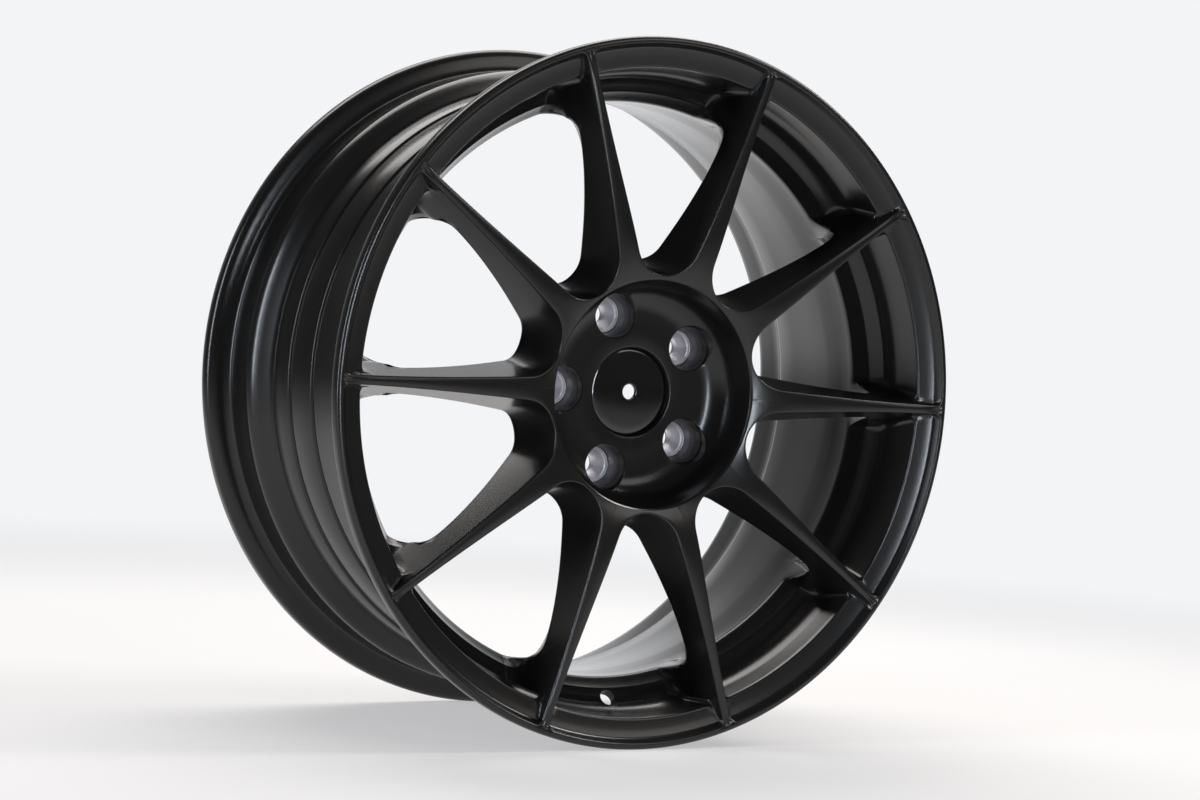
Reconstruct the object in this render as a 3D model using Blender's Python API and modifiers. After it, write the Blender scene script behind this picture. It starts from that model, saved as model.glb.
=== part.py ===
# Forged racing wheel rim, 18 x 8J, ten spokes, standing upright on its two flanges.
# World frame: the wheel turns about Y, its outer face looks along -Y and +Z is up.
# Every piece is modelled lying down, with local +Z towards the outer face, then turned upright.
# A "station" is the distance behind the outer face of the front flange.
import math

import bmesh
import bpy

MM = 0.001

# ---------------------------------------------------------------- driving dimensions, in millimetres
OVERALL_WIDTH = 230.0
BEAD_SEAT_RADIUS = 231.0
FLANGE_RADIUS = 248.3
WELL_RADIUS = 210.5
SPOKE_COUNT = 10
LUG_COUNT = 5
LUG_CIRCLE_RADIUS = 56.0
BOLT_HOLE_RADIUS = 7.5
PAD_STATION = 41.0
MOUNT_FACE_STATION = 77.0
DISH_RADIUS = 80.0
CENTRE_BORE_RADIUS = 33.3
CAP_BORE_RADIUS = 31.3
CAP_LEDGE_STATION = 47.6
CAP_SNAP_RADIUS = 29.0
CAP_HOLE_RADIUS = 5.3
SEAT_BORE_RADIUS = 13.4
SEAT_STATION = 59.0
SEAT_CONE_END = 68.6
SEAT_FLOOR_STATION = 75.5
VALVE_HOLE_RADIUS = 5.65
VALVE_SPOTFACE_RADIUS = 7.9

BARREL_STEPS = 70
HUB_STEPS = 50
SEAT_STEPS = 20
WIRE_STEPS = 40
WIRE_SIDES = 8
CUTTER_STEPS = 20

# (radius, station) round the front flange: tyre side down, then back up the open side
FRONT_FLANGE_PROFILE = [
    (246.2, 0.0), (FLANGE_RADIUS, 2.4), (FLANGE_RADIUS, 8.4), (246.0, 11.4), (236.0, 13.4),
    (232.2, 14.8), (231.7, 15.2), (226.5, 15.2), (226.6, 11.5), (227.6, 8.8), (242.4, 4.4),
    (243.6, 2.6), (244.4, 0.0),
]
# (radius, station) round the three lengths of the barrel: tyre side towards the rear, then back inside
BARREL_FRONT_PROFILE = [
    (231.5, 15.6), (BEAD_SEAT_RADIUS, 17.5), (229.6, 33.0), (231.8, 36.5), (229.0, 41.0), (213.0, 58.5),
    (210.6, 63.6), (205.5, 63.6), (205.5, 48.6), (211.9, 46.2), (221.6, 40.1), (225.0, 35.6),
    (226.4, 15.6),
]
BARREL_MIDDLE_PROFILE = [
    (WELL_RADIUS, 64.0), (WELL_RADIUS, 95.0), (212.6, 116.0), (213.8, 117.5), (216.0, 146.0),
    (217.4, 147.5), (219.2, 169.0), (215.0, 169.0), (208.2, 117.0), (205.5, 96.0), (205.5, 64.0),
]
BARREL_REAR_PROFILE = [
    (219.6, 169.4), (220.8, 170.5), (231.0, 181.5), (231.8, 185.5), (229.8, 191.5),
    (BEAD_SEAT_RADIUS, 212.5), (231.5, 214.4), (225.9, 214.4), (225.0, 187.0), (215.4, 172.0),
    (215.1, 169.4),
]
REAR_FLANGE_PROFILE = [
    (231.7, 214.8), (232.4, 215.3), (236.0, 216.6), (246.0, 218.8), (FLANGE_RADIUS, 221.8),
    (FLANGE_RADIUS, 227.6), (246.2, OVERALL_WIDTH), (242.0, OVERALL_WIDTH), (239.0, 225.2),
    (227.4, 218.6), (226.0, 214.8),
]

# (radius at the front, radius at the back, front station, back station, half width front, half width back)
SPOKE_SECTIONS = [
    (88.4, 100.5, 8.2, 45.4, 27.0, 30.6),
    (89.4, 101.5, 7.9, 44.8, 21.6, 28.4),
    (91.4, 103.5, 7.4, 43.6, 16.6, 24.6),
    (94.6, 106.6, 6.6, 41.8, 12.4, 21.0),
    (99.0, 111.0, 5.6, 39.4, 9.4, 17.8),
    (108.0, 118.0, 4.4, 36.0, 7.6, 15.2),
    (126.0, 132.0, 3.0, 31.6, 6.2, 13.2),
    (152.0, 155.0, 1.9, 28.6, 5.0, 11.6),
    (180.0, 180.0, 1.3, 23.6, 3.8, 9.5),
    (196.0, 196.0, 1.1, 28.6, 3.3, 9.4),
    (204.9, 204.9, 1.0, 48.0, 3.1, 11.0),
    (211.4, 211.4, 1.0, 45.6, 3.0, 11.6),
    (221.1, 221.1, 1.0, 39.5, 2.9, 11.6),
    (224.6, 224.6, 1.0, 34.8, 2.9, 11.2),
    (226.2, 226.2, 1.0, 11.2, 2.9, 8.0),
    (227.2, 227.2, 1.0, 8.3, 2.9, 7.2),
    (238.0, 238.0, 1.0, 5.1, 3.1, 4.6),
    (242.9, 242.9, 1.2, 3.2, 4.8, 5.4),
]
SPOKE_EDGE = 1.2
ACROSS = (-1.0, -0.5, 0.0, 0.5, 1.0)

# (radius, station) round the hub: its spoke side down to the mounting face, then back up the bore
HUB_PROFILE = [
    (81.4, 8.6), (87.2, 8.6), (88.0, 9.4), (100.0, 45.8), (98.5, 48.6), (84.0, 60.5), (77.4, 69.6),
    (76.6, 75.8), (75.4, MOUNT_FACE_STATION), (34.3, MOUNT_FACE_STATION), (CENTRE_BORE_RADIUS, 76.0),
    (CENTRE_BORE_RADIUS, 59.4), (CAP_SNAP_RADIUS, 57.6), (CAP_SNAP_RADIUS, 55.0), (30.2, 54.2),
    (30.2, 52.4), (CAP_SNAP_RADIUS, 51.6), (CAP_SNAP_RADIUS, CAP_LEDGE_STATION),
    (CAP_BORE_RADIUS, CAP_LEDGE_STATION), (CAP_BORE_RADIUS, 41.6), (31.9, PAD_STATION),
    (62.0, PAD_STATION), (67.6, 39.7), (72.6, 35.8), (76.2, 30.0), (78.0, 23.0), (79.0, 14.0),
    (DISH_RADIUS, 9.6),
]
CAP_PROFILE = [
    (CAP_HOLE_RADIUS, 44.3), (14.0, 43.7), (24.0, 43.9), (29.4, 44.6), (30.9, 45.4), (30.9, 47.3),
    (28.6, 47.3), (28.6, 51.4), (27.4, 52.2), (27.4, 54.4), (28.6, 55.2), (28.0, 57.2),
    (25.6, 57.2), (25.6, 47.6), (24.0, 46.4), (CAP_HOLE_RADIUS, 46.4),
]
SNAP_RING_RADIUS = 28.75
SNAP_WIRE_RADIUS = 0.95
SNAP_RING_STATION = 53.3

SEAT_PROFILE = [
    (12.6, SEAT_STATION + 0.2), (12.8, SEAT_STATION), (13.1, SEAT_STATION + 0.3), (13.1, 74.8),
    (12.7, 75.2), (BOLT_HOLE_RADIUS, 75.2), (BOLT_HOLE_RADIUS, SEAT_CONE_END),
]
LUG_CUTTER_PROFILE = [
    (0.0, 10.0), (15.9, 10.0), (15.7, 38.0), (SEAT_BORE_RADIUS, SEAT_STATION - 0.6),
    (SEAT_BORE_RADIUS, SEAT_FLOOR_STATION), (BOLT_HOLE_RADIUS + 0.1, SEAT_FLOOR_STATION),
    (BOLT_HOLE_RADIUS + 0.1, 82.0), (0.0, 82.0),
]
# the valve hole stands square to the sloping wall at the front of the well
VALVE_CENTRE = (216.9, 43.1)
VALVE_TILT = math.radians(32.4)
VALVE_ANGLE = math.radians(-90.0)
VALVE_CUTTER_PROFILE = [
    (0.0, -9.0), (VALVE_SPOTFACE_RADIUS, -9.0), (VALVE_SPOTFACE_RADIUS, 0.4), (VALVE_HOLE_RADIUS, 1.3),
    (VALVE_HOLE_RADIUS, 16.0), (0.0, 16.0),
]

UPRIGHT = (math.radians(90.0), 0.0, 0.0)


def clear_scene():
    for obj in list(bpy.data.objects):
        bpy.data.objects.remove(obj, do_unlink=True)


def new_collection(name):
    collection = bpy.data.collections.new(name)
    bpy.context.scene.collection.children.link(collection)
    return collection


def new_material(name, colour, metallic, roughness, coat=0.0):
    material = bpy.data.materials.new(name)
    material.use_nodes = True
    shader = material.node_tree.nodes["Principled BSDF"]
    shader.inputs["Base Color"].default_value = (*colour, 1.0)
    shader.inputs["Metallic"].default_value = metallic
    shader.inputs["Roughness"].default_value = roughness
    shader.inputs["Coat Weight"].default_value = coat
    return material


def depth(station):
    """Local height of a station: the wheel's mid width is at zero."""
    return (OVERALL_WIDTH / 2.0 - station) * MM


def new_object(name, mesh, collection, material=None):
    obj = bpy.data.objects.new(name, mesh)
    collection.objects.link(obj)
    if material:
        mesh.materials.append(material)
    return obj


def smooth(mesh, angle):
    mesh.shade_smooth()
    mesh.set_sharp_from_angle(angle=math.radians(angle))


def screw(obj, steps):
    turn = obj.modifiers.new("Turned", "SCREW")
    turn.axis = "Z"
    turn.angle = math.tau
    turn.steps = steps
    turn.render_steps = steps
    turn.use_merge_vertices = True
    turn.merge_threshold = 0.00001
    turn.use_normal_calculate = True
    return turn


def baked(obj):
    """Turns the object's modifiers into plain faces that point outward."""
    graph = bpy.context.evaluated_depsgraph_get()
    mesh = bpy.data.meshes.new_from_object(obj.evaluated_get(graph))
    work = bmesh.new()
    work.from_mesh(mesh)
    bmesh.ops.remove_doubles(work, verts=work.verts, dist=0.00001)
    bmesh.ops.recalc_face_normals(work, faces=work.faces)
    work.to_mesh(mesh)
    work.free()
    obj.modifiers.clear()
    obj.data = mesh


def turned(name, points, steps, collection, material=None, closed=True):
    """A solid turned about local Z from points of (radius, height) in metres."""
    work = bmesh.new()
    verts = [work.verts.new((radius, 0.0, height)) for radius, height in points]
    for first, second in zip(verts, verts[1:]):
        work.edges.new((first, second))
    if closed:
        work.edges.new((verts[-1], verts[0]))
    mesh = bpy.data.meshes.new(name)
    work.to_mesh(mesh)
    work.free()
    obj = new_object(name, mesh, collection, material)
    screw(obj, steps)
    baked(obj)
    smooth(obj.data, 32.0)
    return obj


def wheel_points(profile):
    return [(radius * MM, depth(station)) for radius, station in profile]


def cut(obj, cutter):
    boolean = obj.modifiers.new("Cut " + cutter.name, "BOOLEAN")
    boolean.operation = "DIFFERENCE"
    boolean.solver = "EXACT"
    boolean.object = cutter


def as_cutter(obj):
    obj.hide_render = True
    obj.display_type = "WIRE"


def on_circle(radius, angle):
    return (radius * math.cos(angle) * MM, radius * math.sin(angle) * MM)


def make_barrel(collection, cutters, material):
    for name, profile in (
        ("front_flange", FRONT_FLANGE_PROFILE),
        ("barrel_front", BARREL_FRONT_PROFILE),
        ("barrel_middle", BARREL_MIDDLE_PROFILE),
        ("barrel_rear", BARREL_REAR_PROFILE),
        ("rear_flange", REAR_FLANGE_PROFILE),
    ):
        ring = turned(name, wheel_points(profile), BARREL_STEPS, collection, material)
        ring.rotation_euler = UPRIGHT
    drill_points = [(radius * MM, -height * MM) for radius, height in VALVE_CUTTER_PROFILE]
    drill = turned("cutter_valve_hole", drill_points, CUTTER_STEPS, cutters, closed=False)
    radius, station = VALVE_CENTRE
    x, z = on_circle(radius, VALVE_ANGLE)
    drill.location = (x, -depth(station), z)
    drill.rotation_euler = (UPRIGHT[0] - VALVE_TILT, 0.0, 0.0)
    as_cutter(drill)
    cut(bpy.data.objects["barrel_front"], drill)


def spoke_section(section):
    """The points round one cross-section, each held on its own radius about the axle."""
    front_radius, back_radius, front, back, front_half, back_half = section
    edge = min(SPOKE_EDGE, 0.35 * (back - front))
    lean = (back_half - front_half) * edge / (back - front)
    flat = front_half - edge
    outline = [(front_radius, -front_half - lean, front + edge)]
    outline += [(front_radius, flat * share, front) for share in ACROSS]
    outline += [(front_radius, front_half + lean, front + edge)]
    outline += [(back_radius, -back_half * share, back) for share in ACROSS]
    return [
        (math.sqrt(radius**2 - across**2) * MM, across * MM, depth(station))
        for radius, across, station in outline
    ]


def close_end(work, ring):
    """Fills one end of the spoke with a strip from its front edge to its back edge."""
    count = len(ACROSS)
    front = ring[1 : count + 1]
    back = list(reversed(ring[count + 2 :]))
    for i in range(count - 1):
        work.faces.new((front[i], front[i + 1], back[i + 1], back[i]))
    work.faces.new((ring[0], front[0], back[0]))
    work.faces.new((front[-1], ring[count + 1], back[-1]))


def make_spoke_mesh():
    work = bmesh.new()
    rings = [[work.verts.new(p) for p in spoke_section(s)] for s in SPOKE_SECTIONS]
    for inner, outer in zip(rings, rings[1:]):
        count = len(inner)
        for i in range(count):
            j = (i + 1) % count
            work.faces.new((inner[i], inner[j], outer[j], outer[i]))
    close_end(work, rings[0])
    close_end(work, rings[-1])
    bmesh.ops.triangulate(work, faces=work.faces)
    bmesh.ops.recalc_face_normals(work, faces=work.faces)
    mesh = bpy.data.meshes.new("spoke")
    work.to_mesh(mesh)
    work.free()
    smooth(mesh, 28.0)
    return mesh


def make_spokes(collection, material):
    mesh = make_spoke_mesh()
    mesh.materials.append(material)
    for index in range(SPOKE_COUNT):
        spoke = new_object(f"spoke_{index + 1:02d}", mesh, collection)
        turn = -math.tau * index / SPOKE_COUNT
        spoke.rotation_euler = (UPRIGHT[0], turn, 0.0)


def lug_angle(index):
    """Lug holes stand on every second spoke, the first one just left of the top."""
    return math.radians(108.0) - math.tau * index / LUG_COUNT


def make_hub(collection, cutters, material):
    hub = turned("hub", wheel_points(HUB_PROFILE), HUB_STEPS, collection, material)
    hub.rotation_euler = UPRIGHT
    for index in range(LUG_COUNT):
        name = f"cutter_lug_{index + 1}"
        cutter = turned(name, wheel_points(LUG_CUTTER_PROFILE), CUTTER_STEPS, cutters, closed=False)
        place_lug(cutter, index)
        as_cutter(cutter)
        cut(hub, cutter)
    return hub


def place_lug(obj, index):
    x, z = on_circle(LUG_CIRCLE_RADIUS, lug_angle(index))
    obj.location = (x, 0.0, z)
    obj.rotation_euler = UPRIGHT


def make_lug_seats(collection, material):
    first = turned("lug_seat_1", wheel_points(SEAT_PROFILE), SEAT_STEPS, collection, material)
    place_lug(first, 0)
    for index in range(1, LUG_COUNT):
        seat = new_object(f"lug_seat_{index + 1}", first.data, collection)
        place_lug(seat, index)


def make_centre_cap(collection, cap_material, wire_material):
    cap = turned("centre_cap", wheel_points(CAP_PROFILE), HUB_STEPS, collection, cap_material)
    cap.rotation_euler = UPRIGHT
    wire = []
    for index in range(WIRE_SIDES):
        angle = math.pi / 2.0 - math.tau * index / WIRE_SIDES
        radius = (SNAP_RING_RADIUS + SNAP_WIRE_RADIUS * math.cos(angle)) * MM
        wire.append((radius, depth(SNAP_RING_STATION) + SNAP_WIRE_RADIUS * math.sin(angle) * MM))
    ring = turned("centre_cap_snap_ring", wire, WIRE_STEPS, collection, wire_material)
    ring.rotation_euler = UPRIGHT


def main():
    clear_scene()
    parts = new_collection("Forged racing wheel rim")
    cutters = new_collection("Cutters")
    forged = new_material("Satin black forged alloy", (0.012, 0.012, 0.013), 0.0, 0.36, 0.35)
    bare = new_material("Bare machined steel seat", (0.55, 0.55, 0.58), 1.0, 0.32)
    gloss = new_material("Gloss black cap", (0.006, 0.006, 0.007), 0.0, 0.12, 0.8)
    spring = new_material("Spring steel wire", (0.42, 0.42, 0.44), 1.0, 0.3)
    make_barrel(parts, cutters, forged)
    make_hub(parts, cutters, forged)
    make_spokes(parts, forged)
    make_lug_seats(parts, bare)
    make_centre_cap(parts, gloss, spring)


main()
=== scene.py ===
import math

import bpy
import numpy as np
from mathutils import Matrix, Vector


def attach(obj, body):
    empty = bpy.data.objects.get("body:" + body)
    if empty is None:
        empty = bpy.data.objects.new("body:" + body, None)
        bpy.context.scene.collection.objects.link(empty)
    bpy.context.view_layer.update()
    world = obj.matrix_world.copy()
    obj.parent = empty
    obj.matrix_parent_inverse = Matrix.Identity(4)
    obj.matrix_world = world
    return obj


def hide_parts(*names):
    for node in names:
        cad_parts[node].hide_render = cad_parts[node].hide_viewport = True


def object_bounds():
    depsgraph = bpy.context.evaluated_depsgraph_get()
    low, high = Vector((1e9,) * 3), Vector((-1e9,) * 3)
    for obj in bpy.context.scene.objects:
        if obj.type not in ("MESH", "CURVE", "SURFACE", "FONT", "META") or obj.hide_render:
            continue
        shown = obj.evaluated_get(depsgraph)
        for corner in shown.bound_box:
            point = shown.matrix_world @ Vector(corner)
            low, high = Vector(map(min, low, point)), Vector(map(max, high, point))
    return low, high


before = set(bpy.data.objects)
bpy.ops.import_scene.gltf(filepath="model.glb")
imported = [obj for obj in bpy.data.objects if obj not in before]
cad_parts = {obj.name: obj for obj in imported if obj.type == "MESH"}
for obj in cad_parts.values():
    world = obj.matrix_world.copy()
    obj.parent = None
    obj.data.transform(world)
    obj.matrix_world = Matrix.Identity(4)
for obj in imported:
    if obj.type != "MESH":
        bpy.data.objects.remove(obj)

mm = 0.001
cadBox = [list(corner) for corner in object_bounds()]
halfWidth = cadBox[1][1] / mm          # from the middle of the rim to the outer face of a flange
weld = 0.00002                         # points closer than this, in metres, become one


def say(text):
    print("wheel:", text)


def pickOnly(*objs):
    for o in list(bpy.context.selected_objects):
        o.select_set(False)
    for o in objs:
        o.hide_set(False)
        o.select_set(True)
    bpy.context.view_layer.objects.active = objs[0]


def applyAll(obj):
    pickOnly(obj)
    for mod in list(obj.modifiers):
        bpy.ops.object.modifier_apply(modifier=mod.name)


def cleanMesh(obj):
    pickOnly(obj)
    bpy.ops.object.mode_set(mode="EDIT")
    bpy.ops.mesh.select_all(action="SELECT")
    bpy.ops.mesh.remove_doubles(threshold=weld)
    bpy.ops.mesh.normals_make_consistent(inside=False)
    bpy.ops.object.mode_set(mode="OBJECT")


# The forging: half of one tenth is drawn out of three grids, mirrored, then copied round the axle.
# Lengths are in mm. A station is the depth behind the front flange's outer face.
forging = {
    "spokes": 10,
    "draft": 4.2,            # how deep a spoke's side goes for each mm it spreads
    "hubSteps": 14,          # steps round the window's end at the hub
    "flankSteps": 26,        # along the spoke
    "cornerSteps": 9,        # round the window's corner at the rim
    "easeIn": 3,             # steps before the corner where its depth starts to follow the rim's
    "rimSteps": 15,          # along the rim to the middle of the window
    "rimEvenness": 0.45,     # 1 would space the rim's steps evenly
    "hubColumns": 10,        # of the hub steps, those that meet the dish
    "tangent": 102.0,        # radius where the window's end at the hub meets the spoke's side
    "tangentDrift": 0.2,     # how far that point moves out for each mm of spread
}
spoke = {
    "top": (1.2, 7.8, 80.0, 20.0),             # station at the rim, more at the hub, the hub's radius, fading
    "half": (2.9, 4.6, 235.0, 125.0, 1.7),     # half width at the rim, growth, inward from, over, power
    "arch": (22.5, 22.0, 200.0, 100.0, 1.9),   # the back's station, with the same five
    "flare": (26.0, 192.0, 13.0, 2.0),         # the back into the barrel: depth, outward from, over, power
}
band = {
    "depth": 8.8, "inner": 227.4,              # the floor's inner edge: station, radius
    "slope": 0.285,                            # how fast the floor rises towards the lip
    "drop": 30.0, "dropRadii": (226.5, 223.0),
    "lip": 243.9, "lipSlope": 1.5,             # the short steep face under the lip
    "rounding": 0.9,                           # where two of these faces meet
    "takeover": (222.0, 230.0),                # radii where the band takes over from the spoke's side
    "cornerRise": 1.2,                         # for each step past the spoke
}
slot = {
    "depth": 1.7,
    "start": 15.2,                             # from the middle of the spoke to the end of the slot
    "corner": 5.0,
    "top": 221.5,
    "edge": (-0.2, 0.9),
    "within": (205.0, 222.5),                  # radii
    "runOut": (62.0, 50.0),                    # stations
}
ridge = {
    "hub": 81.2,                               # radius where the top of the spoke meets the dish's edge
    "front": (84.0, 242.8, 40),                # first radius, last radius, points
    "lip": (243.9, 0.5), "lipFace": (245.2, 0.0),
    "back": (97.0, 199.0, 30), "backSink": 0.4,
    "backEnd": [(202.6, 46.0), (204.8, 52.0)],
    "backHub": (90.0, 54.4), "backRim": (205.5, 68.0),
    "topShares": (0.06, 0.25, 0.5, 0.75),      # the first holds the bevel at the dish's edge narrow
    "topEnd": 243.0,                           # beyond this radius the rows belong to the lip
    "underShares": (0.34, 0.67),
    "crown": 0.35,                             # how far the middle of the spoke stands proud
    "crownStart": (84.0, 115.0), "crownEnd": (243.0, 225.0),
}

# the lip's edge: radius, station, corner radius, then how far the spoke's own edge spreads and drops
lipLines = [
    (244.6, 0.0, 6.2, -0.9, 0.0), (244.0, 0.12, 5.7, -0.35, 0.1), (243.55, 0.45, 5.3, 0.0, 0.4),
    (243.2, 1.05, 5.0, 0.22, 0.95),
]
# the band's floor: radius, corner radius, share of the spoke's side, share of it by the band, more spread
floorLines = [
    (241.4, 3.9, 0.07, 0.72, 0.0), (240.6, 3.4, 0.11, 0.92, 0.0), (239.4, 3.0, 0.15, 1.0, 0.4),
    (234.0, 2.4, 0.19, 1.0, 0.9), (228.8, 1.8, 0.23, 1.0, 1.5),
]
# down the drop and the wall of the well: radius, station, corner radius, share of the side, spread at the rim
deepLines = [
    (227.9, 8.6, 4.5, 0.26, 2.6), (227.4, 9.1, 4.5, 0.28, 2.9), (227.2, 9.8, 4.5, 0.30, 3.2),
    (226.9, 13.0, 4.5, 0.34, 3.8), (226.4, 26.0, 4.8, 0.44, 5.9), (225.6, 32.0, 5.0, 0.52, 6.9),
    (224.2, 36.0, 5.2, 0.58, 7.4), (222.7, 38.8, 5.4, 0.63, 7.7), (221.8, 40.0, 5.6, 0.67, 7.8),
    (221.2, 40.5, 5.6, 0.70, 7.85), (220.3, 41.0, 5.6, 0.73, 7.9), (216.4, 43.5, 5.6, 0.78, 7.95),
    (212.7, 45.9, 5.6, 0.82, 8.0), (211.9, 46.6, 5.6, 0.85, 8.0), (211.4, 47.6, 5.6, 0.88, 8.0),
    (209.6, 51.0, 5.8, 0.91, 8.0), (207.4, 55.0, 6.0, 0.945, 8.0), (206.0, 57.6, 6.0, 0.98, 7.9),
    (205.2, 59.4, 6.2, 1.0, 7.4), (205.0, 61.2, 6.4, 0.99, 6.4),
]
# the last three lines round the window's back edge over: share of the side -> deeper, drawn in
backEdge = {0.98: (-0.7, 0.0), 1.0: (0.05, 0.35), 0.99: (0.9, 1.5)}
drawnInUpTo = 30                       # the step where the drawing in is still whole
sideEnd = (192.0, 204.0)               # radii where the spoke's side turns into the rim's corner

sector = math.radians(180.0 / forging["spokes"])       # half of one tenth
cornerStart = forging["hubSteps"] + forging["flankSteps"]


def ease(low, high, value):
    t = np.clip((value - low) / (high - low), 0.0, 1.0)
    return t * t * (3.0 - 2.0 * t)


def softMin(a, b, k):
    h = np.clip(0.5 + 0.5 * (b - a) / k, 0.0, 1.0)
    return b * (1.0 - h) + a * h - k * h * (1.0 - h)


def grownInward(r, shape):
    atRim, growth, start, over, power = shape
    return atRim + growth * (np.clip(start - r, 0.0, None) / over) ** power


def spokeTop(r):
    atRim, more, start, fading = spoke["top"]
    return atRim + more * np.exp(-(r - start) / fading)


def spokeHalf(r):
    return grownInward(r, spoke["half"])


def spokeArch(r):
    return grownInward(r, spoke["arch"])


def spokeBack(r):
    depth, start, over, power = spoke["flare"]
    return spokeArch(r) + depth * (np.clip(r - start, 0.0, None) / over) ** power


# how much wider the back of a spoke is than its top, on each side
def spokeSpread(r):
    return (spokeArch(r) - spokeTop(r)) / forging["draft"]


def bandPlane(r):
    return band["depth"] - (r - band["inner"]) * band["slope"]


def floorPlane(r):
    return bandPlane(r) + band["drop"] * ease(*band["dropRadii"], r)


def radiusOf(row):
    return np.hypot(row[:, 0], row[:, 1])


def arcPoints(x, y, radius, angles):
    return [(x + radius * math.cos(a), y + radius * math.sin(a)) for a in angles]


# plan points of one line round the window, from the hub's middle to the rim's middle
def contour(offset, rimRadius, corner):
    f = forging

    def edge(x):
        return spokeHalf(x) + offset(x)

    x0 = f["tangent"]
    for _ in range(3):                 # a few rounds settle the point where the arc meets the side
        slope = edge(x0 + 0.5) - edge(x0 - 0.5)
        nx, ny = -slope / math.hypot(1.0, slope), 1.0 / math.hypot(1.0, slope)
        y0 = edge(x0)
        bend = (x0 * math.tan(sector) - y0) / (ny - nx * math.tan(sector))
        x0 = f["tangent"] + f["tangentDrift"] * float(offset(x0))
    hubStart = math.atan2(-math.sin(sector), -math.cos(sector))
    hubEnd = math.atan2(-ny, -nx)
    hubAngles = np.linspace(hubStart, hubEnd, f["hubSteps"] + 1)
    hubPts = arcPoints(x0 + nx * bend, y0 + ny * bend, bend, hubAngles)
    x1 = rimRadius - corner
    for _ in range(4):                 # and here the middle of the corner's arc
        y1 = float(edge(x1)) + corner
        x1 = math.sqrt((rimRadius - corner) ** 2 - y1**2)
    flankShare = np.linspace(0.0, 1.0, f["flankSteps"] + 1)[1:]
    flankPts = [(x, float(edge(x))) for x in x0 + (x1 - x0) * flankShare]
    turn = math.atan2(y1, x1)
    cornerAngles = np.linspace(-math.pi / 2.0, turn, f["cornerSteps"] + 1)[1:]
    cornerPts = arcPoints(x1, y1, corner, cornerAngles)
    share = np.linspace(0.0, 1.0, f["rimSteps"] + 1)[1:]
    share = f["rimEvenness"] * share + (1.0 - f["rimEvenness"]) * share**2
    rimPts = arcPoints(0.0, 0.0, rimRadius, turn + (sector - turn) * share)
    return np.array(hubPts + flankPts + cornerPts + rimPts)


# station of each point: the spoke side's first, the rim's last, eased through the corner
def stationAlong(plan, sideStation, rimStation):
    start = cornerStart - forging["easeIn"]
    along = ease(start, cornerStart + forging["cornerSteps"] + 1, np.arange(len(plan)))
    return sideStation * (1.0 - along) + rimStation * along


def lipRow(r, station, corner, out, down):
    plan = contour(lambda x: out + 0.0 * x, r, corner)
    return np.column_stack([plan, stationAlong(plan, spokeTop(radiusOf(plan)) + down, station)])


def floorRow(r, corner, share, byBand, more):
    def offset(x):
        near = share * spokeSpread(x)
        far = byBand * (bandPlane(x) - spokeTop(x)) / forging["draft"] + more
        w = ease(*band["takeover"], x)
        return near * (1.0 - w) + far * w

    plan = contour(offset, r, corner)
    radius = radiusOf(plan)
    side = spokeTop(radius) + forging["draft"] * offset(plan[:, 0])
    pastSpoke = np.clip(np.arange(len(plan)) - cornerStart, 0, None)
    side = side + pastSpoke * band["cornerRise"]
    base = softMin(floorPlane(radius), (band["lip"] - radius) * band["lipSlope"], band["rounding"])
    return np.column_stack([plan, softMin(side, base, band["rounding"])])


def deepRow(r, station, corner, share, atRim):
    def offset(x):
        w = ease(*sideEnd, x)
        return share * spokeSpread(x) * (1.0 - w) + atRim * w

    plan = contour(offset, r, corner)
    radius = radiusOf(plan)
    side = spokeTop(radius) + forging["draft"] * offset(plan[:, 0])
    if share in backEdge:
        deeper, drawnIn = backEdge[share]
        side = spokeArch(radius) + deeper
        step = np.arange(len(plan))
        plan[:, 1] -= drawnIn * ease(cornerStart, drawnInUpTo, step) * ease(0, forging["hubSteps"], step)
    return np.column_stack([plan, stationAlong(plan, side, station)])


# the shallow slot milled in the front wall of the well, with rounded ends by the spokes
def cutSlot(row):
    radius = radiusOf(row)
    inner = slot["top"] - radius
    side = row[:, 1] - slot["start"]
    c = slot["corner"]
    inside = np.minimum(inner, side)
    both = (inner < c) & (side < c)
    inside[both] = c - np.hypot(c - inner[both], c - side[both])
    low, high = slot["within"]
    depth = slot["depth"] * ease(*slot["edge"], inside) * (radius < high) * (radius > low)
    row[:, 2] += depth * ease(*slot["runOut"], row[:, 2])


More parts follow.
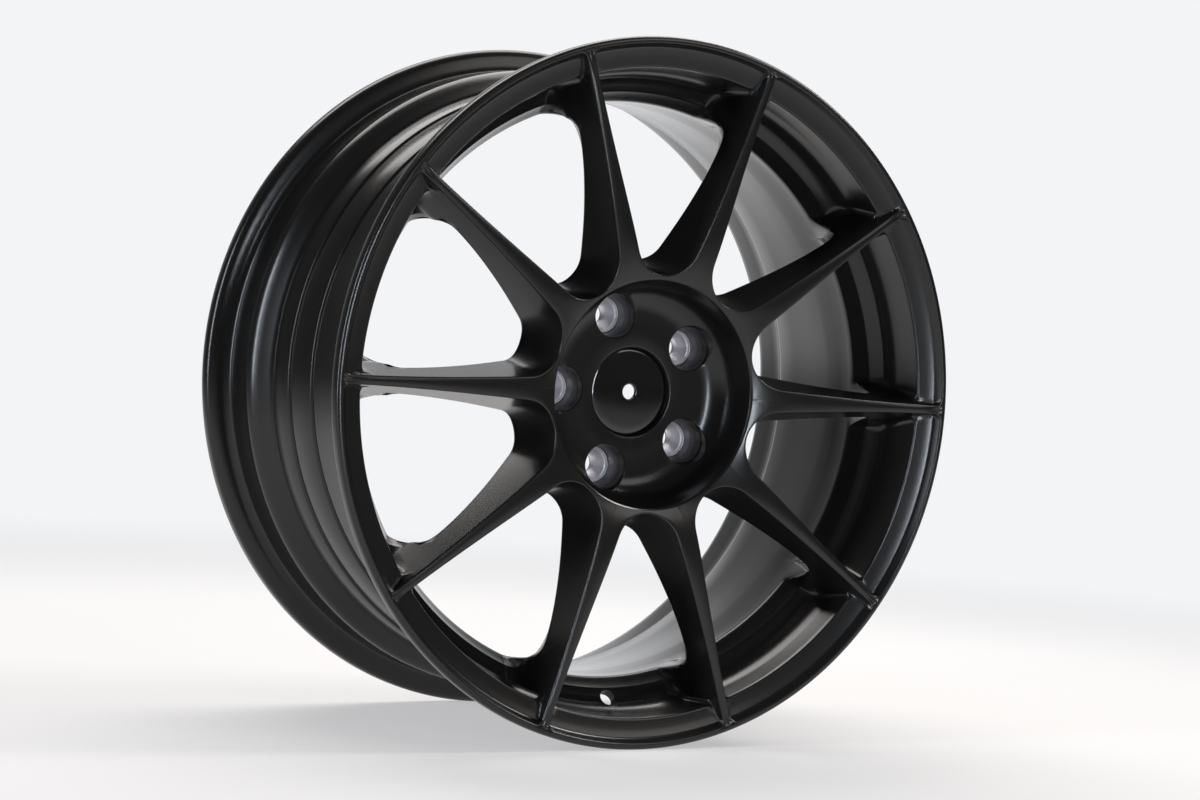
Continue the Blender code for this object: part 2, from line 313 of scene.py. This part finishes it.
# turned outlines: radius, station
lipToLip = [
    (246.4, 0.12), (247.3, 0.6), (248.0, 1.6), (248.3, 3.0), (248.3, 7.6), (248.05, 9.2), (247.3, 10.6),
    (246.0, 11.8), (244.2, 12.5), (240.0, 13.0), (236.0, 13.3), (233.6, 14.0), (232.0, 15.2), (231.1, 17.2),
    (230.7, 20.0), (229.7, 32.0), (230.0, 33.6), (231.2, 35.4), (231.8, 37.0), (231.2, 38.8), (229.0, 41.6),
    (222.0, 48.8), (215.0, 56.0), (212.0, 59.8), (210.8, 63.0), (210.5, 67.0), (210.5, 94.0), (212.2, 113.4),
    (212.3, 114.6), (211.9, 115.4), (212.0, 116.4), (213.2, 117.0), (213.7, 117.8), (215.6, 143.4),
    (215.6, 144.6), (215.2, 145.4), (215.3, 146.4), (216.6, 147.0), (217.1, 147.8), (218.6, 166.4),
    (218.6, 167.6), (218.2, 168.4), (218.4, 169.4), (219.8, 170.2), (221.0, 171.6), (226.0, 176.2),
    (229.4, 179.6), (231.2, 182.2), (231.8, 184.6), (231.6, 187.0), (230.4, 189.6), (229.9, 192.0),
    (230.0, 196.0), (230.8, 210.0), (231.2, 213.2), (232.4, 215.2), (234.6, 216.3), (238.0, 216.8),
    (243.0, 217.4), (245.6, 218.4), (247.3, 219.8), (248.1, 221.6), (248.3, 223.4), (248.3, 226.6),
    (248.0, 228.2), (247.2, 229.4), (246.0, 229.9), (244.0, 230.0), (242.4, 229.7), (241.2, 228.7),
    (239.6, 226.0), (236.0, 223.2), (231.0, 221.0), (228.0, 219.0), (226.2, 216.0), (225.4, 211.0),
    (225.0, 196.0), (224.6, 189.0), (223.0, 184.0), (219.0, 177.4), (215.6, 172.4), (214.0, 168.4),
    (211.8, 147.0), (208.4, 118.0), (205.9, 97.0), (205.5, 90.0), (205.5, 78.0),
]
dishToBack = [
    (80.7, 9.15), (80.35, 9.35), (80.05, 9.75), (79.9, 10.4), (79.6, 13.5), (79.0, 18.5), (77.9, 24.0),
    (76.2, 28.6), (74.0, 32.4), (71.2, 35.6), (68.0, 38.0), (64.6, 39.6), (61.0, 40.6), (57.0, 41.0),
    (44.0, 41.0), (32.9, 41.0), (32.2, 41.15), (31.7, 41.6), (31.5, 42.3), (31.4, 47.3), (31.2, 47.6),
    (29.0, 47.6), (29.0, 58.0), (33.3, 60.0), (33.3, 76.0), (34.2, 77.0), (40.0, 77.0), (60.0, 77.0),
    (74.6, 77.0), (75.6, 76.8), (76.3, 76.1), (76.8, 75.0), (78.6, 68.4), (81.0, 63.6), (84.6, 59.2),
]


# count + 1 evenly spaced points on a line of (x, y, station)
def evenly(points, count):
    pts = np.array(points, float)
    steps = np.hypot(np.hypot(*np.diff(pts[:, :2], axis=0).T), np.diff(pts[:, 2]))
    length = np.concatenate([[0.0], np.cumsum(steps)])
    places = np.linspace(0, length[-1], count + 1)
    return np.column_stack([np.interp(places, length, pts[:, i]) for i in range(3)])


def arcRow(r, station, angles):
    return np.column_stack([r * np.cos(angles), r * np.sin(angles), np.full(len(angles), station)])


# the outer frame of the window lines: round the hub, out along the spoke, round the rim
def frameRow(hubR, hubStation, middle, rimR, rimStation, hubAngles, rimAngles):
    f = forging
    total = cornerStart + f["cornerSteps"] + f["rimSteps"]
    spine = [(hubR, 0, hubStation)] + middle + [(rimR, 0, rimStation)]
    spine = evenly(spine, total - f["hubColumns"] - len(rimAngles) + 1)
    return np.vstack([arcRow(hubR, hubStation, hubAngles), spine[1:-1], arcRow(rimR, rimStation, rimAngles)])


# rows from the spoke's ridge to the window's first line, with the top of the spoke crowned
def topRows(front, edge):
    rows = [front]
    for t in ridge["topShares"]:
        row = front * (1.0 - t) + edge * t
        radius = radiusOf(row)
        row[:, 2] = np.where(radius < ridge["topEnd"], spokeTop(radius), row[:, 2])
        rows.append(row)
    for row, t in zip(rows, (0.0, *ridge["topShares"])):
        radius = radiusOf(row)
        fade = ease(*ridge["crownStart"], radius) * ease(*ridge["crownEnd"], radius)
        row[:, 2] -= ridge["crown"] * fade * (1.0 - t * t)
    return rows


def halfGrids():
    f = forging
    window = [lipRow(*line) for line in lipLines]
    window += [floorRow(*line) for line in floorLines]
    window += [deepRow(*line) for line in deepLines]
    for row in window:
        cutSlot(row)
    rimColumns = f["cornerSteps"] + f["rimSteps"] + 1
    hubColumns = f["hubColumns"] + 1
    hubAngles = np.linspace(sector, 0.0, hubColumns)
    angles = np.arctan2(window[0][:, 1], window[0][:, 0])[-rimColumns:]
    angles = (angles - angles[0]) * sector / (angles[-1] - angles[0])

    middle = [(x, 0.0, float(spokeTop(x))) for x in np.linspace(*ridge["front"])]
    middle.append((ridge["lip"][0], 0.0, ridge["lip"][1]))
    hubEdge = (ridge["hub"], float(spokeTop(ridge["hub"])))
    front = frameRow(*hubEdge, middle, *ridge["lipFace"], hubAngles, angles)
    middle = [(x, 0.0, float(spokeBack(x)) + ridge["backSink"]) for x in np.linspace(*ridge["back"])]
    middle += [(x, 0.0, station) for x, station in ridge["backEnd"]]
    back = frameRow(*ridge["backHub"], middle, *ridge["backRim"], hubAngles, angles)

    under = [window[-1] * (1.0 - t) + back * t for t in ridge["underShares"]]
    rows = topRows(front, window[0]) + window + under + [back]
    barrel = [arcRow(r, station, angles) for r, station in lipToLip]
    dish = [arcRow(r, station, hubAngles) for r, station in dishToBack]
    return [
        np.array(rows),
        np.array([front[-rimColumns:], *barrel, back[-rimColumns:]]),
        np.array([front[:hubColumns], *dish, back[:hubColumns]]),
    ]


# a Blender grid whose points are drawn out to the given places
def gridObject(grid):
    rows, cols = grid.shape[:2]
    bpy.ops.mesh.primitive_grid_add(x_subdivisions=cols - 1, y_subdivisions=rows - 1, size=1.0)
    obj = bpy.context.object
    flat = grid.reshape(-1, 3)
    place = np.column_stack([flat[:, 0], flat[:, 2] - halfWidth, flat[:, 1]]) * mm
    obj.data.vertices.foreach_set("co", place.astype(np.float32).ravel())
    obj.data.update()
    return obj


def joined(name, objs):
    pickOnly(*objs)
    bpy.ops.object.join()
    obj = bpy.context.object
    obj.name = obj.data.name = name
    return obj


def makeForging():
    half = joined("forged_wheel", [gridObject(grid) for grid in halfGrids()])
    mirror = half.modifiers.new("otherHalf", "MIRROR")
    mirror.use_axis = (False, False, True)
    mirror.use_mirror_merge = True
    mirror.merge_threshold = weld / 2.0
    applyAll(half)
    cleanMesh(half)
    copies = [half]
    for k in range(1, forging["spokes"]):
        pickOnly(half)
        bpy.ops.object.duplicate()
        turn = math.tau * k / forging["spokes"]
        bpy.ops.transform.rotate(value=turn, orient_axis="Y", center_override=(0, 0, 0))
        copies.append(bpy.context.object)
    pickOnly(*copies)
    bpy.ops.object.transform_apply(location=True, rotation=True, scale=True)
    forged = joined("forged_wheel", copies)
    cleanMesh(forged)
    return forged


def forgingNodes():
    names = ["front_flange", "barrel_front", "barrel_middle", "barrel_rear", "rear_flange", "hub"]
    return names + [f"spoke_{k:02d}" for k in range(1, forging["spokes"] + 1)]


hub = {
    "lugs": 5, "lugCircle": 56.0, "lugAngle": 108.0,
    "lugCutSteps": 48, "seatSteps": 80,
}
valve = {"radius": 216.9, "station": 43.1, "angle": -90.0, "tilt": 32.4, "steps": 64}
# cutters and turned pieces: radius, station
lugCut = [
    (0.0, 30.0), (16.8, 30.0), (16.8, 40.6), (16.35, 40.95), (16.05, 41.4), (15.9, 42.2), (15.8, 44.0),
    (15.6, 46.6), (15.2, 48.6), (13.7, 56.6), (13.4, 58.2), (13.2, 59.2), (13.15, 60.0), (13.15, 75.3),
    (7.7, 75.3), (7.7, 76.2), (8.5, 77.0), (8.5, 82.0), (0.0, 82.0),
]
# radius, depth below the wall that the valve's hole goes through
valveCut = [
    (0.0, -9.0), (8.9, -9.0), (8.9, -0.2), (8.3, 0.15), (7.9, 0.5), (6.3, 1.15), (5.8, 1.45), (5.65, 1.9),
    (5.65, 14.0), (0.0, 14.0),
]
seatProfile = [
    (12.1, 59.8), (12.25, 59.3), (12.45, 59.05), (12.65, 59.05), (12.82, 59.3), (12.95, 59.9), (12.95, 74.6),
    (12.6, 75.1), (7.9, 75.1), (7.6, 74.9), (7.5, 74.5), (7.5, 69.4), (7.58, 68.9), (7.8, 68.4),
    (11.05, 62.4), (11.25, 62.0), (11.3, 61.6), (11.5, 61.3), (11.75, 61.2), (11.9, 60.9),
]
capProfile = [
    (5.3, 45.0), (5.3, 44.2), (5.42, 43.9), (5.7, 43.72), (6.4, 43.7), (9.0, 43.72), (14.0, 43.85),
    (20.0, 44.1), (25.0, 44.4), (28.6, 44.7), (29.9, 44.95), (30.5, 45.3), (30.8, 45.8), (30.9, 46.4),
    (30.9, 47.1), (30.7, 47.3), (28.6, 47.3), (28.6, 51.4), (27.4, 52.2), (27.4, 54.4), (28.6, 55.2),
    (28.5, 56.4), (28.0, 57.2), (26.0, 57.2), (25.6, 56.8), (25.6, 47.6), (24.6, 46.6), (24.0, 46.4),
    (5.6, 46.4), (5.3, 46.1),
]
capSteps = 128
wire = {"ring": 28.75, "radius": 0.95, "station": 53.3, "sides": 24, "steps": 96}


# a body turned about the axle: a disc's edge is drawn to the outline, then spun
def turned(name, profile, steps):
    bpy.ops.mesh.primitive_circle_add(vertices=len(profile), radius=0.01)
    obj = bpy.context.object
    obj.name = obj.data.name = name
    for v, (r, station) in zip(obj.data.vertices, profile):
        v.co = (r * mm, (station - halfWidth) * mm, 0.0)
    turn = obj.modifiers.new("turned", "SCREW")
    turn.axis = "Y"
    turn.steps = turn.render_steps = steps
    turn.use_merge_vertices = True
    turn.merge_threshold = weld / 2.0
    applyAll(obj)
    cleanMesh(obj)
    return obj


# stand a piece on its place round the wheel, leaning it outward first
def movedTo(obj, radius, angle, tilt=0.0):
    a = math.radians(angle)
    obj.rotation_euler = (tilt, 0.0, 0.0)
    obj.location = (radius * math.cos(a) * mm, obj.location[1], radius * math.sin(a) * mm)
    pickOnly(obj)
    bpy.ops.object.transform_apply(location=True, rotation=True, scale=True)


def lugAngles():
    return [hub["lugAngle"] - 360.0 * k / hub["lugs"] for k in range(hub["lugs"])]


def drillHub(forged):
    cutters = []
    for k, angle in enumerate(lugAngles()):
        cutter = turned(f"lugCutter{k}", lugCut, hub["lugCutSteps"])
        movedTo(cutter, hub["lugCircle"], angle)
        cutters.append(cutter)
    # the valve's drill is turned about the origin, and then leant and moved to the wall
    drill = turned("valveCutter", [(r, depth + halfWidth) for r, depth in valveCut], valve["steps"])
    drill.location = (0.0, (valve["station"] - halfWidth) * mm, 0.0)
    movedTo(drill, valve["radius"], valve["angle"], math.radians(-valve["tilt"]))
    tool = joined("cutters", cutters + [drill])
    cut = forged.modifiers.new("drilled", "BOOLEAN")
    cut.operation = "DIFFERENCE"
    cut.solver = "EXACT"
    cut.object = tool
    applyAll(forged)
    bpy.data.objects.remove(tool, do_unlink=True)


def makeSeats():
    seats = []
    for k, angle in enumerate(lugAngles()):
        seat = turned(f"bare_seat_{k + 1}", seatProfile, hub["seatSteps"])
        movedTo(seat, hub["lugCircle"], angle)
        seats.append(seat)
    return seats


def makeSpringRing():
    around = np.linspace(0.0, math.tau, wire["sides"] + 1)[:-1]
    outline = arcPoints(wire["ring"], wire["station"], wire["radius"], around)
    return turned("spring_wire", outline, wire["steps"])


def fill(tree, socket, value):
    if isinstance(value, Val):
        tree.links.new(value.socket, socket)
    elif isinstance(value, tuple):
        socket.default_value = (*value, 1.0)
    else:
        socket.default_value = value


# a socket that can be used in an expression
class Val:
    def __init__(self, tree, socket):
        self.tree, self.socket = tree, socket

    # any other node: its type, its settings, then its sockets by name or, as in0 and in1, by number
    def node(self, kind, settings=None, **inputs):
        made = self.tree.nodes.new(kind)
        for key, value in (settings or {}).items():
            setattr(made, key, value)
        for key, value in inputs.items():
            byNumber = key.startswith("in") and key[2:].isdigit()
            fill(self.tree, made.inputs[int(key[2:]) if byNumber else key.replace("_", " ")], value)
        return made

    def math(self, operation, other=0.0):
        made = self.node("ShaderNodeMath", {"operation": operation}, in0=self, in1=other)
        return Val(self.tree, made.outputs[0])

    def __add__(self, other):
        return self.math("ADD", other)

    def __sub__(self, other):
        return self.math("SUBTRACT", other)

    def __mul__(self, other):
        return self.math("MULTIPLY", other)

    def __truediv__(self, other):
        return self.math("DIVIDE", other)

    def __pow__(self, other):
        return self.math("POWER", other)

    def __radd__(self, other):
        return self + other

    def __rsub__(self, other):
        return self * -1.0 + other

    def __rmul__(self, other):
        return self * other

    def sine(self):
        return self.math("SINE") * 0.5 + 0.5

    def size(self):
        return self.math("ABSOLUTE")

    # 0 at the first value and 1 at the second, eased
    def between(self, low, high):
        settings = {"interpolation_type": "SMOOTHSTEP"}
        made = self.node("ShaderNodeMapRange", settings, Value=self, From_Min=low, From_Max=high)
        return Val(self.tree, made.outputs["Result"])

    def mix(self, first, second):
        made = self.node("ShaderNodeMix", {"data_type": "RGBA"}, in0=self, in6=first, in7=second)
        return Val(self.tree, made.outputs[2])

    def split(self):
        made = self.node("ShaderNodeSeparateXYZ", None, Vector=self)
        return [Val(self.tree, out) for out in made.outputs]


class Paint:
    def __init__(self, name):
        self.material = bpy.data.materials.new(name)
        self.material.use_nodes = True
        self.tree = self.material.node_tree
        self.shader = self.tree.nodes["Principled BSDF"]
        self.place = Val(self.tree, self.tree.nodes.new("ShaderNodeTexCoord").outputs["Object"])
        self.x, self.y, self.z = self.place.split()

    def noise(self, scale, detail=2.0):
        made = self.place.node("ShaderNodeTexNoise", None, Vector=self.place, Scale=scale, Detail=detail)
        return Val(self.tree, made.outputs["Fac"])

    def bump(self, height, distance, **more):
        made = self.place.node("ShaderNodeBump", None, Height=height, Distance=distance, Strength=1.0, **more)
        return Val(self.tree, made.outputs["Normal"])

    # edges seem rounded by this radius
    def softEdge(self, radius):
        made = self.place.node("ShaderNodeBevel", {"samples": 4}, Radius=radius)
        return Val(self.tree, made.outputs["Normal"])

    def set(self, **values):
        for key, value in values.items():
            fill(self.tree, self.shader.inputs[key.replace("_", " ")], value)


# clouds and blotches: noise scale, detail. Faces that meet at less than the smooth angle look smooth.
satin = {
    "smooth": 40.0,
    "colour": (0.0068, 0.0069, 0.0072), "warm": (0.0084, 0.0078, 0.0072), "clouds": (9.0, 3.0),
    "roughness": 0.25, "cloudGloss": 0.05, "grainGloss": 0.06, "specular": 0.38,
    "coat": 0.2, "coatRoughness": 0.15,
    "grain": 900.0, "grainInPeel": 0.3, "peel": 420.0, "peelDepth": 0.000008, "edge": 0.0004,
    "bare": (0.22, 0.22, 0.24), "bareShine": 0.95,       # of metal showing through thin paint
    "pocket": (0.0162, 0.0158),          # how far from a bolt's middle the paint is thin
    "thin": (-0.071, -0.057),            # down a pocket the paint thins out between these depths
    "whole": (-0.054, -0.052),           # and below these it is whole again
}
turnedMetal = {
    "smooth": 35.0,
    "dark": (0.58, 0.57, 0.62), "bright": (0.88, 0.87, 0.92), "blotches": (120.0, 3.0),
    "crests": (-55.95, -53.55),          # the two real rings on the seat, painted near white as a painted highlight, in mm along the axle
    # width of the painted highlight on the two rings, and its near white colour
    "crestWidth": (0.75, 0.2), "crest": (1.0, 0.99, 1.0),
    "coarse": (7.0, 90.0, 1.5),          # tool marks: how close, scale of their waver, its size
    "marks": (20.0, 60.0, 2.0), "fine": 67.0,
    "coarseShare": 0.6,                  # of the colour, against the blotches
    "marksShare": 0.7,                   # of the depth, against the fine marks
    "roughness": 0.26, "markGloss": 0.1, "blotchGloss": 0.08, "markDepth": 0.00005,
}
plastic = {
    "smooth": 35.0,
    "colour": (0.006, 0.006, 0.007), "warm": (0.009, 0.008, 0.008), "clouds": (30.0, 3.0),
    "roughness": 0.12, "cloudGloss": 0.05, "coat": 0.6, "coatRoughness": 0.06,
    "ripple": 260.0, "rippleDepth": 0.000006,
}
steel = {
    "smooth": 60.0,
    "dark": (0.36, 0.36, 0.38), "bright": (0.46, 0.46, 0.48), "clouds": (200.0, 3.0),
    "roughness": 0.26, "cloudGloss": 0.12,
}


# the paint thins out down the pockets of the bolts, where the metal shows through
def thinPaint(p):
    nearest = 1.0
    for angle in lugAngles():
        a = math.radians(angle)
        across = p.x - hub["lugCircle"] * mm * math.cos(a)
        upward = p.z - hub["lugCircle"] * mm * math.sin(a)
        nearest = ((across * across + upward * upward) ** 0.5).math("MINIMUM", nearest)
    inPocket = nearest.between(*satin["pocket"])
    return inPocket * p.y.between(*satin["thin"]) * (1.0 - p.y.between(*satin["whole"]))


def satinPaint():
    p = Paint("satinBlackPaint")
    cloud = p.noise(*satin["clouds"])
    grain = p.noise(satin["grain"])
    thin = thinPaint(p)
    paint = cloud.mix(satin["colour"], satin["warm"])
    p.set(Base_Color=thin.mix(paint, satin["bare"]), Metallic=thin * satin["bareShine"])
    gloss = (cloud - 0.5) * satin["cloudGloss"] + (grain - 0.5) * satin["grainGloss"]
    p.set(Roughness=gloss + satin["roughness"], Specular_IOR_Level=satin["specular"])
    p.set(Coat_Weight=satin["coat"], Coat_Roughness=satin["coatRoughness"])
    peel = p.noise(satin["peel"]) + grain * satin["grainInPeel"]
    p.set(Normal=p.bump(peel, satin["peelDepth"], Normal=p.softEdge(satin["edge"])))
    return p.material


def toolMarks(p, depth, close, waver, size):
    return (depth * close + p.noise(waver) * size).sine()


def bareMetal():
    p = Paint("bareTurnedMetal")
    depth = p.y / mm
    marks = toolMarks(p, depth, *turnedMetal["marks"])
    coarse = toolMarks(p, depth, *turnedMetal["coarse"])
    fine = (depth * turnedMetal["fine"]).sine()
    blotch = p.noise(*turnedMetal["blotches"])
    share = turnedMetal["coarseShare"]
    metal = (coarse * share + blotch * (1.0 - share)).mix(turnedMetal["dark"], turnedMetal["bright"])
    # painted highlight: the seat's two rings are painted near white where light would catch them
    for crest in turnedMetal["crests"]:
        metal = (depth - crest).size().between(*turnedMetal["crestWidth"]).mix(metal, turnedMetal["crest"])
    p.set(Base_Color=metal, Metallic=1.0)
    gloss = marks * turnedMetal["markGloss"] + blotch * turnedMetal["blotchGloss"]
    p.set(Roughness=gloss + turnedMetal["roughness"])
    share = turnedMetal["marksShare"]
    p.set(Normal=p.bump(marks * share + fine * (1.0 - share), turnedMetal["markDepth"]))
    return p.material


def glossPlastic():
    p = Paint("glossBlackPlastic")
    cloud = p.noise(*plastic["clouds"])
    p.set(Base_Color=cloud.mix(plastic["colour"], plastic["warm"]))
    p.set(Roughness=plastic["roughness"] + (cloud - 0.5) * plastic["cloudGloss"])
    p.set(Coat_Weight=plastic["coat"], Coat_Roughness=plastic["coatRoughness"])
    p.set(Normal=p.bump(p.noise(plastic["ripple"]), plastic["rippleDepth"]))
    return p.material


def springSteel():
    p = Paint("springSteel")
    cloud = p.noise(*steel["clouds"])
    p.set(Base_Color=cloud.mix(steel["dark"], steel["bright"]), Metallic=1.0)
    p.set(Roughness=steel["roughness"] + cloud * steel["cloudGloss"])
    return p.material


def dressed(obj, material, angle):
    obj.data.materials.clear()
    obj.data.materials.append(material)
    pickOnly(obj)
    bpy.ops.object.shade_smooth_by_angle(angle=math.radians(angle))


wheel = makeForging()
say(f"forging drawn, {len(wheel.data.polygons)} faces")
drillHub(wheel)
dressed(wheel, satinPaint(), satin["smooth"])
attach(wheel, "wheel")
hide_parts(*forgingNodes())
say(f"hub drilled, {len(wheel.data.polygons)} faces")

seatMetal = bareMetal()
for k, seat in enumerate(makeSeats()):
    dressed(seat, seatMetal, turnedMetal["smooth"])
    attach(seat, "wheel")
    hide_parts(f"lug_seat_{k + 1}")
cap = turned("gloss_cap", capProfile, capSteps)
dressed(cap, glossPlastic(), plastic["smooth"])
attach(cap, "cap")
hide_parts("centre_cap")
springRing = makeSpringRing()
dressed(springRing, springSteel(), steel["smooth"])
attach(springRing, "cap")
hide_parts("centre_cap_snap_ring")
say("seats, cap and spring ring turned")

view = {
    "lens": 85.48, "sensor": 36.0,
    "place": (-1.04573, -1.79606, 0.05569),
    "right": (0.85932, -0.50675, 0.06914),
    "up": (-0.04364, 0.06204, 0.99712),
    "back": (-0.50958, -0.85986, 0.03119),
}
studio = {
    "view": (0.5096, 0.8599),            # the camera looks this way over the floor
    "backdrop": (0.895, 0.905, 0.925),
    "room": (0.075, 0.072, 0.068),       # what stands on the camera's side and shows in the paint
    "backdropEdge": (0.80, 0.95),        # room up to the first, backdrop from the second; 1 is straight ahead
    # name, place, aimed at, width, height, power, colour
    "lights": [
        ("window", (-0.12, -3.1, 0.2), (0.0, 0.0, 0.0), 0.26, 1.1, 27.0, (0.82, 0.9, 1.0)),
        ("sideWindow", (-2.8, -0.4, 0.5), (0.0, 0.0, 0.0), 0.35, 1.9, 42.0, (0.82, 0.9, 1.0)),
        ("overhead", (0.3, 1.0, 2.1), (0.0, 0.0, 0.0), 2.6, 1.7, 62.0, (1.0, 0.97, 0.94)),
        ("room", (1.6, -2.3, 1.35), (0.0, 0.0, 0.0), 1.2, 1.0, 9.0, (1.0, 0.95, 0.9)),
        ("ceiling", (2.1, -0.5, 1.8), (0.0, 0.0, 0.0), 0.7, 0.9, 30.0, (1.0, 0.98, 0.96)),
        ("card", (0.236, 0.79, 0.15), (0.0, 0.39, 0.15), 2.2, 0.8, 1.9, (0.97, 0.98, 1.0)),
    ],
    "wheelOnly": ["card"],               # it stands close behind the wheel and would draw a line on the floor
}
sweep = {
    "size": 60.0, "roughness": 0.75,
    "colour": (0.45, 0.44, 0.433),
    "glow": (0.45, 0.447, 0.452),        # painted light: the floor glows near the wheel so the wheel's shadow stays pale
    "glowEnd": (0.7, 1.7),               # m from the wheel, where the painted light fades out
    "cameraDistance": 2.1,
    "farStart": (0.3, 1.7),              # m from the wheel where the floor turns into the backdrop
    "aside": (0.5, 0.27),                # not far to the sides: slant, seen from the camera
    "before": (0.2, 1.2),                # not near the camera: m in front of it
}
black = (0.0, 0.0, 0.0)


def makeCamera():
    data = bpy.data.cameras.new("frontLeft")
    camera = bpy.data.objects.new("frontLeft", data)
    bpy.context.collection.objects.link(camera)
    data.sensor_width = view["sensor"]
    data.lens = view["lens"]
    turn = Matrix((view["right"], view["up"], view["back"])).transposed().to_4x4()
    camera.matrix_world = Matrix.Translation(view["place"]) @ turn
    bpy.context.scene.camera = camera


def makeLights():
    onWheel = bpy.data.collections.new("litWheel")
    onWheel.objects.link(wheel)
    for name, place, target, width, height, power, colour in studio["lights"]:
        bpy.ops.object.light_add(type="AREA", location=place)
        lamp = bpy.context.object
        lamp.name = lamp.data.name = name
        lamp.data.shape = "RECTANGLE"
        lamp.data.size = width
        lamp.data.size_y = height
        lamp.data.energy = power
        lamp.data.color = colour
        lamp.rotation_euler = (Vector(target) - Vector(place)).to_track_quat("-Z", "Y").to_euler()
        lamp.visible_camera = False
        if name in studio["wheelOnly"]:
            lamp.light_linking.receiver_collection = onWheel


def makeWorld():
    world = bpy.data.worlds.new("studio")
    bpy.context.scene.world = world
    world.use_nodes = True
    tree = world.node_tree
    x, y, z = Val(tree, tree.nodes.new("ShaderNodeTexCoord").outputs["Generated"]).split()
    ahead = (x * studio["view"][0] + y * studio["view"][1]).between(*studio["backdropEdge"])
    fill(tree, tree.nodes["Background"].inputs["Color"], ahead.mix(studio["room"], studio["backdrop"]))


def makeFloor():
    bpy.ops.mesh.primitive_plane_add(size=sweep["size"], location=(0.0, 0.0, cadBox[0][2]))
    floor = bpy.context.object
    floor.name = "floor"
    p = Paint("paleFloor")
    viewX, viewY = studio["view"]
    depth = p.x * viewX + p.y * viewY + sweep["cameraDistance"]
    slant = (p.x * viewY - p.y * viewX).size() / depth
    reach = (p.x * p.x + p.y * p.y) ** 0.5
    far = reach.between(*sweep["farStart"]) * slant.between(*sweep["aside"]) * depth.between(*sweep["before"])
    p.set(Base_Color=far.mix(sweep["colour"], black), Roughness=sweep["roughness"], Specular_IOR_Level=0.0)
    # painted light: near the wheel the floor glows, which lightens the wheel's shadow
    glow = reach.between(*sweep["glowEnd"]).mix(sweep["glow"], black)
    p.set(Emission_Color=far.mix(glow, studio["backdrop"]), Emission_Strength=1.0)
    floor.data.materials.append(p.material)


makeCamera()
makeFloor()
makeWorld()
makeLights()
bpy.context.scene.view_settings.view_transform = "Standard"
say("camera, floor and lights placed")
